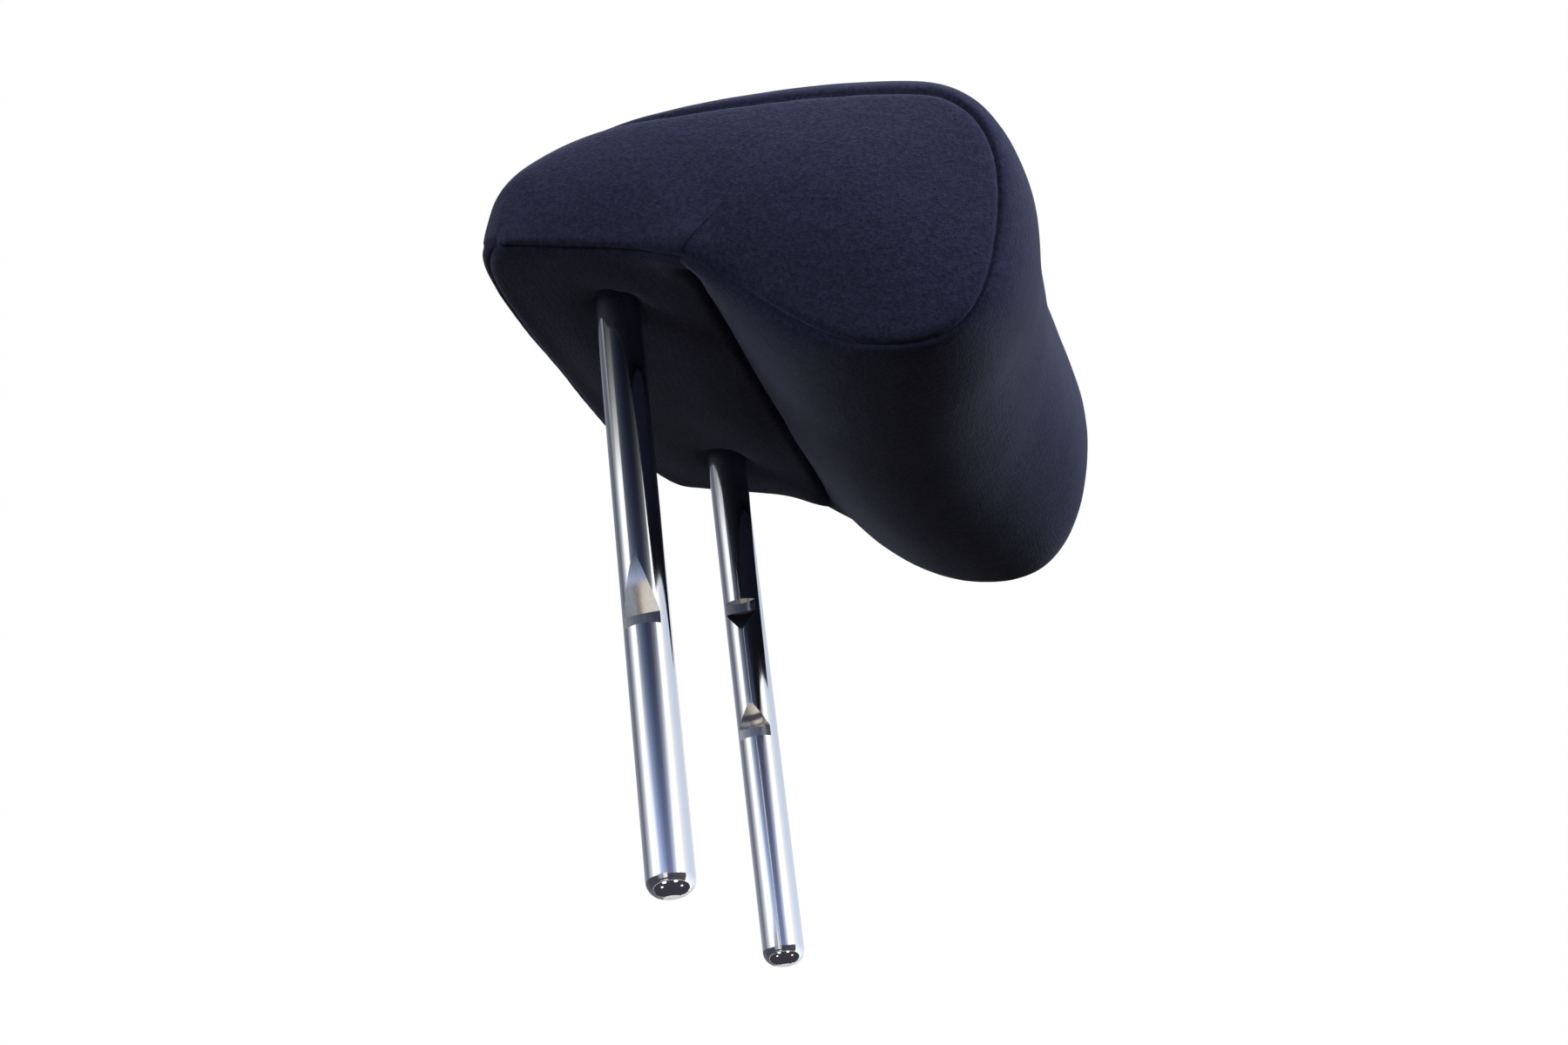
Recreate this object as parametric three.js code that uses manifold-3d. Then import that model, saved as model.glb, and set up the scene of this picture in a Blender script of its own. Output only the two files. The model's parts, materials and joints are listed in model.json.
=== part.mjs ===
// Car headrest for a rear bench: a padded cushion on a bent steel stay.
// Millimetres, +Z up along the posts, -Y to the front, X from side to side.
// The origin lies midway between the two posts, where they leave the cushion's flat underside.

import * as THREE from 'three';
import { mergeVertices } from 'three/addons/utils/BufferGeometryUtils.js';
import Module from 'manifold-3d';

const wasm = await Module();
wasm.setup();

// Stay: one steel bar that makes both posts and the frame inside the cushion
const postDiameter = 12;
const postSpacing = 103;
const exposedPost = 161;
const lean = THREE.MathUtils.degToRad(18.9); // between the posts and the cushion's own upright
const bendRadius = 16;
const bendStart = 2;
const crossbarReach = 74;
const tipFlatRadius = 1.6;

// Notches for the seat's catch, all on the left face of the posts
const notchDepth = 2.3;
const stopHeight = 66.6; // from the tip to the shoulder that stops the post from being drawn out
const lockAboveStop = 44;
const leftStop = { floor: 3.7, ramp: 15 };
const rightStop = { floor: 4.2, ramp: 6.3 };
const rightLock = { floor: 4.8, ramp: 5.3 };

// Cushion sections in its own level frame: [forward, up] from the point where the posts leave it
const seamHalfWidth = 81;
const sideBulge = 7;
const crease = [28.5, 0];
const middleSection = {
  lip: [13, -13],
  lobe: [72, -26],
  lobeHandle: 0.55,
  nose: [122, 14],
  noseHandle: 0.6,
  noseFlow: 0.54,
  crown: [73, 66],
  crownFlow: 0.52,
  back: [-40, 9.5],
  heel: [-37.5, 0],
};
const endSection = {
  lip: [8, -1],
  lobe: [81, -22],
  lobeHandle: 0.34,
  nose: [107.5, 6],
  noseHandle: 0.75,
  noseFlow: 0.64,
  crown: [81, 49.5],
  crownFlow: 0.39,
  back: [-26.5, 19.5],
  heel: [-25.5, 0],
};
const frontHollow = 14; // how far the middle of the front dips back from the rolls beside the seams
const reachShare = { fullness: 5.25, roundness: 1.15 }; // how the front and back fill out across
const crownShare = { fullness: 2.7, roundness: 2 }; // how the top and the lobe fill out across
const backHandle = 0.47; // the handles and flows set how full each curve between two key points is
const heelHandle = [0.6, 0.15];
const curveSteps = [6, 5, 6, 8, 3];

// Cover and clearances
const clothThickness = 3;
const seamGap = 0.4;
const restGap = 0.3;
const foamGap = 0.7; // round the foam, whose facets bend where the crease's lip flattens out
const postHoleClearance = 0.6;

// Core: two moulded shells that clasp the stay
const coreBesidePost = 10.5; // from a post's axis to the core's side
const coreHalfWidth = postSpacing / 2 + coreBesidePost;
const coreWall = 2.5;
const coreBack = -16;
const coreFront = 92;
const baseFront = 20;
const bridgeHeight = 14;
const bridgeEnd = 42;
const lobeFloorStart = 50;
const lobeFloor = -8;
const lobeFloorEnd = 82;
const noseChamferTop = 4;
const coreRoof = 35;
const frontChamfer = 7;
const backChamfer = [11, 8];
const ribThickness = 2.5;
const saddleClearance = 0.3;
const runSaddles = [32, 56];
const crossSaddle = 22;
const saddleReach = 9;

// Screws that close the core, driven upwards from the lower shell
const screwShank = 2;
const screwHead = 4;
const screwHeadHeight = 2.4;
const screwHeadTop = { radius: 2.8, height: 1.3 }; // the domed top's flat and its depth
const screwLength = 20;
const screwTip = 3;
const screwGrip = 13; // from the head's seat to the plane where the shells meet
const screwBoss = 6.5;
const screwAcross = 34;
const screwRows = [-4.5, 12, 57];

// Closure strips, one sewn to each edge of the cover at the crease, hooked together inside
const stripHalfLength = 62;
const stripWall = 1.5;
const stripHeight = 7.5;
const stripHook = 5.2;
const baseStripBack = 24;
const mainStripFront = 33;

// Drawing detail
const roundSides = 20;
const bossSides = 14;
const screwSides = 10;
const beyond = 200; // further than any piece reaches
const overcut = 1; // how far a cut starts outside the face it opens

const navyCloth = new THREE.MeshStandardMaterial({ color: 0x272a3c, roughness: 0.95, metalness: 0 });
const chrome = new THREE.MeshStandardMaterial({ color: 0xc9ccd4, roughness: 0.08, metalness: 1 });
const blackPlastic = new THREE.MeshStandardMaterial({ color: 0x1c1c1e, roughness: 0.6, metalness: 0 });
const foam = new THREE.MeshStandardMaterial({ color: 0xd8cfa8, roughness: 1, metalness: 0 });
const zincSteel = new THREE.MeshStandardMaterial({ color: 0xa9adb0, roughness: 0.4, metalness: 1 });

// Joining and cutting

function solidOf(geometry) {
  const bare = geometry.clone();
  bare.deleteAttribute('normal');
  bare.deleteAttribute('uv');
  const merged = mergeVertices(bare, 1e-4);
  const vertProperties = new Float32Array(merged.attributes.position.array);
  const triVerts = new Uint32Array(merged.index.array);
  return new wasm.Manifold(new wasm.Mesh({ numProp: 3, vertProperties, triVerts }));
}

function geometryOf(solid) {
  const mesh = solid.getMesh();
  const geometry = new THREE.BufferGeometry();
  geometry.setAttribute('position', new THREE.BufferAttribute(mesh.vertProperties, 3));
  geometry.setIndex(new THREE.BufferAttribute(mesh.triVerts, 1));
  geometry.computeVertexNormals();
  return geometry;
}

function joined(geometries) {
  return geometries.map(solidOf).reduce((whole, next) => whole.add(next));
}

function without(solid, geometries) {
  return geometries.map(solidOf).reduce((whole, cut) => whole.subtract(cut), solid);
}

// Closed solids from rings of points, each ring with the same number of points

function pushQuad(index, a, b, c, d) {
  index.push(a, b, c, a, c, d);
}

function meshOf(points, index) {
  const geometry = new THREE.BufferGeometry();
  const places = points.flatMap((p) => [p.x, p.y, p.z]);
  geometry.setAttribute('position', new THREE.Float32BufferAttribute(places, 3));
  geometry.setIndex(index);
  return geometry;
}

// A tube through rings, closed at each end by a fan to that end's middle point
function ringSolid(rings, firstPole, lastPole) {
  const count = rings[0].length;
  const points = rings.flat();
  const index = [];
  for (let i = 0; i < rings.length - 1; i += 1) {
    for (let j = 0; j < count; j += 1) {
      const next = (j + 1) % count;
      pushQuad(index, i * count + j, i * count + next, (i + 1) * count + next, (i + 1) * count + j);
    }
  }
  const first = points.push(firstPole) - 1;
  const last = points.push(lastPole) - 1;
  const lastRing = (rings.length - 1) * count;
  for (let j = 0; j < count; j += 1) {
    const next = (j + 1) % count;
    index.push(first, next, j);
    index.push(last, lastRing + j, lastRing + next);
  }
  return meshOf(points, index);
}

// A sheet between an outer and an inner grid of points, with its four edges closed
function sheetSolid(outer, inner) {
  const rows = outer.length;
  const columns = outer[0].length;
  const offset = rows * columns;
  const points = [...outer.flat(), ...inner.flat()];
  const index = [];
  const at = (i, j) => i * columns + j;
  for (let i = 0; i < rows - 1; i += 1) {
    for (let j = 0; j < columns - 1; j += 1) {
      pushQuad(index, at(i, j), at(i, j + 1), at(i + 1, j + 1), at(i + 1, j));
      const inside = [at(i + 1, j), at(i + 1, j + 1), at(i, j + 1), at(i, j)];
      pushQuad(index, ...inside.map((corner) => offset + corner));
    }
  }
  for (let i = 0; i < rows - 1; i += 1) {
    const end = columns - 1;
    pushQuad(index, at(i + 1, 0), offset + at(i + 1, 0), offset + at(i, 0), at(i, 0));
    pushQuad(index, at(i, end), offset + at(i, end), offset + at(i + 1, end), at(i + 1, end));
  }
  for (let j = 0; j < columns - 1; j += 1) {
    const end = rows - 1;
    pushQuad(index, at(0, j), offset + at(0, j), offset + at(0, j + 1), at(0, j + 1));
    pushQuad(index, at(end, j + 1), offset + at(end, j + 1), offset + at(end, j), at(end, j));
  }
  return meshOf(points, index);
}

// Cushion shape

const stationsPerSide = 7;
const stationCrowding = 1.8; // above 1 gathers the stations towards the side seams

function bezier(corners) {
  return new THREE.CubicBezierCurve(...corners.map(([a, b]) => new THREE.Vector2(a, b)));
}

// From the crease round the lobe, up the front, back along the top and down to the heel
function sectionPoints(cut) {
  const { lerp } = THREE.MathUtils;
  const { lip, lobe, nose, crown, back, heel } = cut;
  const lipEnd = [crease[0] + lip[0], crease[1] + lip[1]];
  const underLobe = [lerp(lobe[0], crease[0], cut.lobeHandle), lobe[1]];
  const beforeNose = [lerp(lobe[0], nose[0], cut.noseHandle), lobe[1]];
  const belowNose = [nose[0], lerp(nose[1], lobe[1], cut.noseHandle)];
  const aboveNose = [nose[0], lerp(nose[1], crown[1], cut.noseFlow)];
  const beforeCrown = [lerp(crown[0], nose[0], cut.noseFlow), crown[1]];
  const behindCrown = [lerp(crown[0], back[0], cut.crownFlow), crown[1]];
  const aboveBack = [back[0], lerp(back[1], crown[1], backHandle)];
  const aboveHeel = [lerp(back[0], heel[0], heelHandle[0]), heelHandle[1] * back[1]];
  const curves = [
    [crease, lipEnd, underLobe, lobe],
    [lobe, beforeNose, belowNose, nose],
    [nose, aboveNose, beforeCrown, crown],
    [crown, behindCrown, aboveBack, back],
    [back, [back[0], back[1] / 2], aboveHeel, heel],
  ];
  const points = curves.flatMap((corners, i) => bezier(corners).getPoints(curveSteps[i]).slice(0, -1));
  return [...points, new THREE.Vector2(...heel)];
}

// The closed outline moved inwards by a distance, with mitred corners
function insetSection(points, distance) {
  const outward = (from, to) => new THREE.Vector2(to.y - from.y, from.x - to.x).normalize();
  return points.map((point, i) => {
    const before = outward(points.at(i - 1), point);
    const after = outward(point, points[(i + 1) % points.length]);
    const middle = before.clone().add(after);
    return point.clone().addScaledVector(middle, -distance / (1 + before.dot(after)));
  });
}

// Shares of the half width, from the right seam (1) to the left one (-1)
function stations() {
  const list = [];
  for (let i = stationsPerSide; i >= -stationsPerSide; i -= 1) {
    const k = Math.abs(i) / stationsPerSide;
    list.push(Math.sign(i) * (1 - (1 - k) ** stationCrowding));
  }
  return list;
}

function shareAt(t, { fullness, roundness }) {
  return (1 - Math.abs(t) ** fullness) ** (1 / roundness);
}

// The section at a share of the half width: 0 in the middle, 1 and -1 at the side seams
function sectionAt(t) {
  const reach = shareAt(t, reachShare);
  const rise = shareAt(t, crownShare);
  const mixed = (key, share) => THREE.MathUtils.lerp(endSection[key], middleSection[key], share);
  const point = (key, forwardShare) => [
    THREE.MathUtils.lerp(endSection[key][0], middleSection[key][0], forwardShare),
    THREE.MathUtils.lerp(endSection[key][1], middleSection[key][1], rise),
  ];
  const nose = point('nose', reach);
  return sectionPoints({
    lip: point('lip', rise),
    lobe: point('lobe', rise),
    lobeHandle: mixed('lobeHandle', rise),
    nose: [nose[0] - frontHollow * (1 - t * t), nose[1]],
    noseHandle: mixed('noseHandle', rise),
    noseFlow: mixed('noseFlow', rise),
    crown: point('crown', rise),
    crownFlow: mixed('crownFlow', rise),
    back: point('back', reach),
    heel: point('heel', reach),
  });
}

function levelPoint(across, forward, up) {
  return new THREE.Vector3(across, -forward, up);
}

// Sections of the cushion from its right seam to its left one, moved inwards by a distance
function sections(inset) {
  return stations().map((t) => insetSection(sectionAt(t), inset)
    .map((point) => levelPoint(t * (seamHalfWidth - inset), point.x, point.y)));
}

const domeRings = 4;
const domePower = 2.2;
const domeMiddle = new THREE.Vector2(40, 16);

// Rings of one side's dome from its seam to just short of its middle, and the middle point
function dome(side, ringInset, depth) {
  const outline = insetSection(sectionAt(1), ringInset);
  const across = (share) => side * (seamHalfWidth - depth + sideBulge * (1 - share ** domePower));
  const rings = [];
  for (let k = domeRings; k > 0; k -= 1) {
    const share = k / domeRings;
    rings.push(outline.map((point) => {
      const mixed = domeMiddle.clone().lerp(point, share);
      return levelPoint(across(share), mixed.x, mixed.y);
    }));
  }
  return { rings, pole: levelPoint(across(0), domeMiddle.x, domeMiddle.y) };
}

// Cover panels

function mainPanel() {
  return sheetSolid(sections(0), sections(clothThickness));
}

function sidePanel(side) {
  const outer = dome(side, seamGap, 0);
  const inner = dome(side, clothThickness + seamGap, clothThickness);
  const rings = [...[...inner.rings].reverse(), ...outer.rings];
  const ordered = side < 0 ? rings : rings.map((ring) => [...ring].reverse());
  return ringSolid(ordered, inner.pole, outer.pole);
}

function postHole(radius, side) {
  const hole = new THREE.CylinderGeometry(radius, radius, exposedPost, roundSides);
  hole.rotateX(Math.PI / 2 - lean);
  hole.translate(side * postSpacing / 2, 0, 0);
  return hole;
}

function basePanel() {
  const edgeOf = (inset) => {
    const shrink = (seamHalfWidth - inset - seamGap) / (seamHalfWidth - inset);
    return sections(inset).map((ring) => {
      const heel = ring.at(-1);
      const crease = ring[0];
      return [
        new THREE.Vector3(heel.x * shrink, heel.y - seamGap, heel.z),
        new THREE.Vector3(crease.x * shrink, crease.y + seamGap, crease.z),
      ];
    });
  };
  const sheet = solidOf(sheetSolid(edgeOf(0), edgeOf(clothThickness)));
  const holes = [-1, 1].map((side) => postHole(postDiameter / 2 + postHoleClearance, side));
  return geometryOf(without(sheet, holes));
}

// Core shells

const barPlane = bendRadius * (1 + Math.sin(lean)) * Math.sin(lean)
  + (bendStart + bendRadius * Math.cos(lean)) * Math.cos(lean);
const coreBase = clothThickness + restGap;

function coreOutline() {
  return [
    [coreBack, coreBase],
    [baseFront, coreBase],
    [baseFront, bridgeHeight],
    [bridgeEnd, bridgeHeight],
    [lobeFloorStart, lobeFloor],
    [lobeFloorEnd, lobeFloor],
    [coreFront, noseChamferTop],
    [coreFront, coreRoof - frontChamfer],
    [coreFront - frontChamfer, coreRoof],
    [coreBack + backChamfer[0], coreRoof],
    [coreBack, coreRoof - backChamfer[1]],
  ];
}

// A prism across the cushion with the given outline of [forward, up] points
function prism(outline, halfWidth) {
  const shape = new THREE.Shape(outline.map(([a, b]) => new THREE.Vector2(a, b)));
  const geometry = new THREE.ExtrudeGeometry(shape, { depth: 2 * halfWidth, bevelEnabled: false });
  geometry.translate(0, 0, -halfWidth);
  const axes = new THREE.Matrix4().makeBasis(levelPoint(0, 1, 0), levelPoint(0, 0, 1), levelPoint(-1, 0, 0));
  return geometry.applyMatrix4(axes);
}

function insetOutline(outline, distance) {
  const points = outline.map(([a, b]) => new THREE.Vector2(a, b));
  return insetSection(points, distance).map((p) => [p.x, p.y]);
}

// A box by its limits: across, forward and up
function block(across, forward, up) {
  const box = new THREE.BoxGeometry(across[1] - across[0], forward[1] - forward[0], up[1] - up[0]);
  const middle = ([low, high]) => (low + high) / 2;
  return box.translate(middle(across), -middle(forward), middle(up));
}

function upright(radius, low, high, across, forward, sides) {
  const post = new THREE.CylinderGeometry(radius, radius, high - low, sides);
  post.rotateX(Math.PI / 2);
  return post.translate(across, -forward, (low + high) / 2);
}

// The space that the stay's inside part takes, with a clearance round it
function saddleSpace() {
  const radius = postDiameter / 2 + saddleClearance;
  const runs = [-1, 1].map((side) => {
    const run = new THREE.CylinderGeometry(radius, radius, beyond, roundSides);
    return run.translate(side * postSpacing / 2, -beyond / 2, barPlane);
  });
  const cross = new THREE.CylinderGeometry(radius, radius, postSpacing, roundSides);
  cross.rotateZ(Math.PI / 2);
  cross.translate(0, -crossbarReach, barPlane);
  return [...runs, cross];
}

function saddleRibs(up) {
  const runEdge = postSpacing / 2;
  const ribs = [];
  for (const side of [-1, 1]) {
    const reaches = [runEdge - saddleReach, coreHalfWidth - coreWall / 2];
    const ends = reaches.map((reach) => side * reach).sort((p, q) => p - q);
    for (const forward of runSaddles) {
      ribs.push(block(ends, [forward, forward + ribThickness], up));
    }
    const across = side * crossSaddle;
    const reach = [crossbarReach - saddleReach, crossbarReach + saddleReach];
    ribs.push(block([across - ribThickness / 2, across + ribThickness / 2], reach, up));
  }
  return ribs;
}

function screwPlaces() {
  return screwRows.flatMap((forward) => [-1, 1].map((side) => ({ across: side * screwAcross, forward })));
}

const shellHalfGap = restGap / 2;

function coreShell(lower) {
  const outer = prism(coreOutline(), coreHalfWidth);
  const inner = prism(insetOutline(coreOutline(), coreWall), coreHalfWidth - coreWall);
  const zone = lower ? [-beyond, barPlane - shellHalfGap] : [barPlane + shellHalfGap, beyond];
  const keep = solidOf(block([-beyond, beyond], [-beyond, beyond], zone));
  const envelope = solidOf(outer);
  const shell = envelope.subtract(solidOf(inner));
  const bosses = screwPlaces()
    .map(({ across, forward }) => upright(screwBoss, -beyond, beyond, across, forward, bossSides));
  const inside = joined([...saddleRibs([-beyond, beyond]), ...bosses]).intersect(envelope);
  const screwHoles = screwPlaces().flatMap(({ across, forward }) => {
    const seat = barPlane - screwGrip;
    const shank = screwShank + restGap;
    const head = screwHead + 2 * restGap;
    const end = barPlane + screwLength - screwGrip + restGap;
    return [
      upright(shank, seat - overcut, end, across, forward, screwSides),
      upright(head, -beyond, seat, across, forward, bossSides),
    ];
  });
  const holes = [-1, 1].map((side) => postHole(postDiameter / 2 + postHoleClearance, side));
  const cuts = lower ? [...saddleSpace(), ...screwHoles, ...holes] : [...saddleSpace(), ...screwHoles];
  return geometryOf(without(shell.add(inside).intersect(keep), cuts));
}

function screw() {
  const profile = [
    [0, 0],
    [screwHeadTop.radius, 0],
    [screwHead, screwHeadTop.height],
    [screwHead, screwHeadHeight],
    [screwShank, screwHeadHeight],
    [screwShank, screwHeadHeight + screwLength - screwTip],
    [0, screwHeadHeight + screwLength],
  ];
  const lathe = new THREE.LatheGeometry(profile.map(([r, h]) => new THREE.Vector2(r, h)), screwSides);
  return lathe.rotateX(Math.PI / 2);
}

// Closure strips

function baseStrip() {
  const low = clothThickness + restGap;
  const top = low + stripHeight;
  const tip = baseStripBack + stripHook + stripWall;
  return prism([
    [baseStripBack, low],
    [baseStripBack + stripWall, low],
    [baseStripBack + stripWall, top - stripWall],
    [tip - stripWall, top - stripWall],
    [tip - stripWall, low + 2 * stripWall],
    [tip, low + 2 * stripWall],
    [tip, top],
    [baseStripBack, top],
  ], stripHalfLength);
}

function mainStrip() {
  const low = clothThickness + restGap;
  const top = low + stripHeight;
  const hookTip = baseStripBack + stripHook - restGap;
  return prism([
    [hookTip - stripWall, low],
    [mainStripFront, low],
    [mainStripFront, top],
    [mainStripFront - stripWall, top],
    [mainStripFront - stripWall, low + stripWall],
    [hookTip, low + stripWall],
    [hookTip, low + stripHeight / 2],
    [hookTip - stripWall, low + stripHeight / 2],
  ], stripHalfLength);
}

// Foam bun: fills the cover and leaves room for the core and the closure strips

function foamBun() {
  const inset = clothThickness + foamGap;
  const left = dome(-1, inset, inset);
  const right = dome(1, inset, inset);
  const rings = [...[...right.rings].reverse(), ...sections(inset).slice(1, -1), ...left.rings];
  const bun = solidOf(ringSolid(rings, right.pole, left.pole));
  const core = prism(insetOutline(coreOutline(), -restGap), coreHalfWidth + restGap);
  const window = block(
    [-coreHalfWidth - restGap, coreHalfWidth + restGap],
    [coreBack - restGap, baseFront + restGap],
    [-beyond, coreBase + foamGap],
  );
  const slot = block(
    [-stripHalfLength - restGap, stripHalfLength + restGap],
    [baseStripBack - restGap, mainStripFront + restGap],
    [-beyond, clothThickness + restGap + stripHeight + restGap],
  );
  return geometryOf(without(bun, [core, window, slot]));
}

// Stay: a round bar swept along its bent path

const bendSteps = 6;
const domeSteps = 3;

function ringAt(centre, u, v, radius) {
  const ring = [];
  for (let k = 0; k < roundSides; k += 1) {
    const angle = (2 * Math.PI * k) / roundSides;
    const point = centre.clone().addScaledVector(u, radius * Math.cos(angle));
    ring.push(point.addScaledVector(v, radius * Math.sin(angle)));
  }
  return ring;
}

// Rings of the left half of the stay, from the tip of its post to the middle of the crossbar
function halfStay() {
  const radius = postDiameter / 2;
  const left = new THREE.Vector3(-1, 0, 0);
  const ahead = new THREE.Vector3(0, -Math.cos(lean), -Math.sin(lean));
  const levelDown = new THREE.Vector3(0, Math.sin(lean), -Math.cos(lean));
  const tip = new THREE.Vector3(-postSpacing / 2, 0, -exposedPost);
  const rings = [];
  for (let k = 0; k <= domeSteps; k += 1) {
    const angle = (Math.PI / 2) * (k / domeSteps);
    const size = tipFlatRadius + (radius - tipFlatRadius) * Math.sin(angle);
    const centre = tip.clone().add(new THREE.Vector3(0, 0, (radius - tipFlatRadius) * (1 - Math.cos(angle))));
    rings.push(ringAt(centre, left, new THREE.Vector3(0, -1, 0), size));
  }
  const turn = Math.PI / 2 + lean;
  for (let k = 0; k <= bendSteps; k += 1) {
    const angle = turn * (k / bendSteps);
    const centre = new THREE.Vector3(
      -postSpacing / 2,
      -bendRadius * (1 - Math.cos(angle)),
      bendStart + bendRadius * Math.sin(angle),
    );
    rings.push(ringAt(centre, left, new THREE.Vector3(0, -Math.cos(angle), -Math.sin(angle)), radius));
  }
  const cornerStart = ahead.clone()
    .multiplyScalar(crossbarReach - bendRadius)
    .addScaledVector(levelDown, -barPlane);
  for (let k = 0; k <= bendSteps; k += 1) {
    const angle = (Math.PI / 2) * (k / bendSteps);
    const centre = cornerStart.clone()
      .addScaledVector(left, postSpacing / 2 - bendRadius * (1 - Math.cos(angle)))
      .addScaledVector(ahead, bendRadius * Math.sin(angle));
    const outward = left.clone().multiplyScalar(Math.cos(angle)).addScaledVector(ahead, Math.sin(angle));
    rings.push(ringAt(centre, outward, levelDown, radius));
  }
  return { rings, tip };
}

function mirrored(point) {
  return new THREE.Vector3(-point.x, point.y, point.z);
}

// A wedge-shaped cut in the left face of a post: a flat shoulder, a short floor and a long ramp
function notch(side, shoulder, { floor, ramp }, upwards) {
  const face = postDiameter / 2;
  const depth = face - notchDepth;
  const outside = face + overcut;
  const rampOut = ramp * (outside - depth) / notchDepth;
  const way = upwards ? 1 : -1;
  const corners = [
    [-outside, 0],
    [-depth, 0],
    [-depth, floor],
    [-outside, floor + rampOut],
  ];
  const shape = new THREE.Shape(corners.map(([x, z]) => new THREE.Vector2(x, way * z)));
  const cut = new THREE.ExtrudeGeometry(shape, { depth: postDiameter, bevelEnabled: false });
  cut.translate(0, 0, -postDiameter / 2);
  cut.rotateX(Math.PI / 2);
  return cut.translate(side * postSpacing / 2, 0, shoulder);
}

function stay() {
  const { rings, tip } = halfStay();
  const otherHalf = [...rings].reverse().map((ring) => ring.map(mirrored));
  const bar = solidOf(ringSolid([...rings, ...otherHalf], tip, mirrored(tip)));
  const stop = stopHeight - exposedPost;
  const lock = stop + lockAboveStop;
  return geometryOf(without(bar, [
    notch(-1, stop, leftStop, true),
    notch(1, stop, rightStop, true),
    notch(1, lock, rightLock, false),
  ]));
}

// Assembly

function piece(name, geometry, material) {
  const mesh = new THREE.Mesh(geometry, material);
  mesh.name = name;
  return mesh;
}

const cushion = new THREE.Group();
cushion.rotation.x = lean;
cushion.add(piece('cover_main_panel', mainPanel(), navyCloth));
cushion.add(piece('cover_left_panel', sidePanel(-1), navyCloth));
cushion.add(piece('cover_right_panel', sidePanel(1), navyCloth));
cushion.add(piece('cover_base_panel', basePanel(), navyCloth));
cushion.add(piece('closure_strip_main', mainStrip(), blackPlastic));
cushion.add(piece('closure_strip_base', baseStrip(), blackPlastic));
cushion.add(piece('foam_bun', foamBun(), foam));
cushion.add(piece('core_lower_shell', coreShell(true), blackPlastic));
cushion.add(piece('core_upper_shell', coreShell(false), blackPlastic));
screwPlaces().forEach(({ across, forward }, i) => {
  const driven = piece(`core_screw_${i + 1}`, screw(), zincSteel);
  driven.position.copy(levelPoint(across, forward, barPlane - screwGrip - screwHeadHeight - restGap));
  cushion.add(driven);
});

const headrest = new THREE.Group();
headrest.add(piece('stay_bar', stay(), chrome));
headrest.add(cushion);

export default headrest;
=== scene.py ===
# %% [markdown]
# # A car headrest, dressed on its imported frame
# The real thing is a foam cushion in a sewn cloth cover, held on two chromed posts that
# are one bent bar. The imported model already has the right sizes, so this lesson only
# adds looks: the taut cloth with its seams, the mirror of the chrome, and plain light.
# The row frame has the posts along Z and the front of the headrest at -Y.

# %% Load the frame
import json
import math

import bmesh
import bpy
import numpy as np
from mathutils import Matrix, Vector, noise
from mathutils.kdtree import KDTree


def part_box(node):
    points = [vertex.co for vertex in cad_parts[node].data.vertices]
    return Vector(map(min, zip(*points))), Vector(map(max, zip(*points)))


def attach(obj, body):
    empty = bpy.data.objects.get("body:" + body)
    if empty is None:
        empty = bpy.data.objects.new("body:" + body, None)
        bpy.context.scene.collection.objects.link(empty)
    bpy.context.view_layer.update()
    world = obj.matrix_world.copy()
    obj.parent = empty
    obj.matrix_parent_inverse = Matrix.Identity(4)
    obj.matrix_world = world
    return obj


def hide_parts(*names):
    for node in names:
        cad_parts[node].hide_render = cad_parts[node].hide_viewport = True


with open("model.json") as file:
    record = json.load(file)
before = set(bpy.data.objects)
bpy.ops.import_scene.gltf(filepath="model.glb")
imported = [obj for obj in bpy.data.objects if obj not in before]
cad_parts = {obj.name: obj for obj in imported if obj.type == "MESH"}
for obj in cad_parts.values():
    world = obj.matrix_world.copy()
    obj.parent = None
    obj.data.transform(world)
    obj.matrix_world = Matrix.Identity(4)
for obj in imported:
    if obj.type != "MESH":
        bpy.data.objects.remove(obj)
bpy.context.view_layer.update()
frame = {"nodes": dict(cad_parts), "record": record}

MM = 0.001
scene = bpy.context.scene
mounts = {mount["name"]: mount for mount in frame["record"]["mounts"]}
print("nodes in the frame:", len(frame["nodes"]))

# %% [markdown]
# ## Sizes that the frame gives
# The posts' diameter and spacing, the angle between them and the cushion, and the
# cushion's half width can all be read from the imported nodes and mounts. Reading them
# keeps this script true to the part if one of them changes.

# %% Read the driving sizes, in millimetres
bar_low, bar_high = (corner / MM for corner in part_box("stay_bar"))
post_radius = bar_high.y
post_offset = bar_high.x - post_radius
tip_height = bar_low.z
lean = math.asin(mounts["underside"]["axis"][1])
seam_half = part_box("cover_main_panel")[1].x / MM
side_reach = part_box("cover_right_panel")[1].x / MM
print(f"post radius {post_radius:.1f}, offset {post_offset:.1f}")
print(f"lean of the cushion {math.degrees(lean):.1f} degrees")

# %% [markdown]
# ## The camera
# The photograph looks up at the headrest from its left side and from below, with the
# camera tipped a little about its own axis. Placing it first means that every later
# choice can be checked in the same picture.

# %% Camera
camera_place = Vector((-444.3, -119.7, -255.4)) * MM
camera_azimuth = math.radians(-78.2)
camera_elevation = math.radians(-24.4)
camera_roll = math.radians(-7.4)
lens_length = 40.76

back = Vector((
    math.sin(camera_azimuth) * math.cos(camera_elevation),
    -math.cos(camera_azimuth) * math.cos(camera_elevation),
    math.sin(camera_elevation),
))
level_right = Vector((math.cos(camera_azimuth), math.sin(camera_azimuth), 0))
level_up = back.cross(level_right)
right = level_right * math.cos(camera_roll) + level_up * math.sin(camera_roll)
up = back.cross(right)

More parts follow.
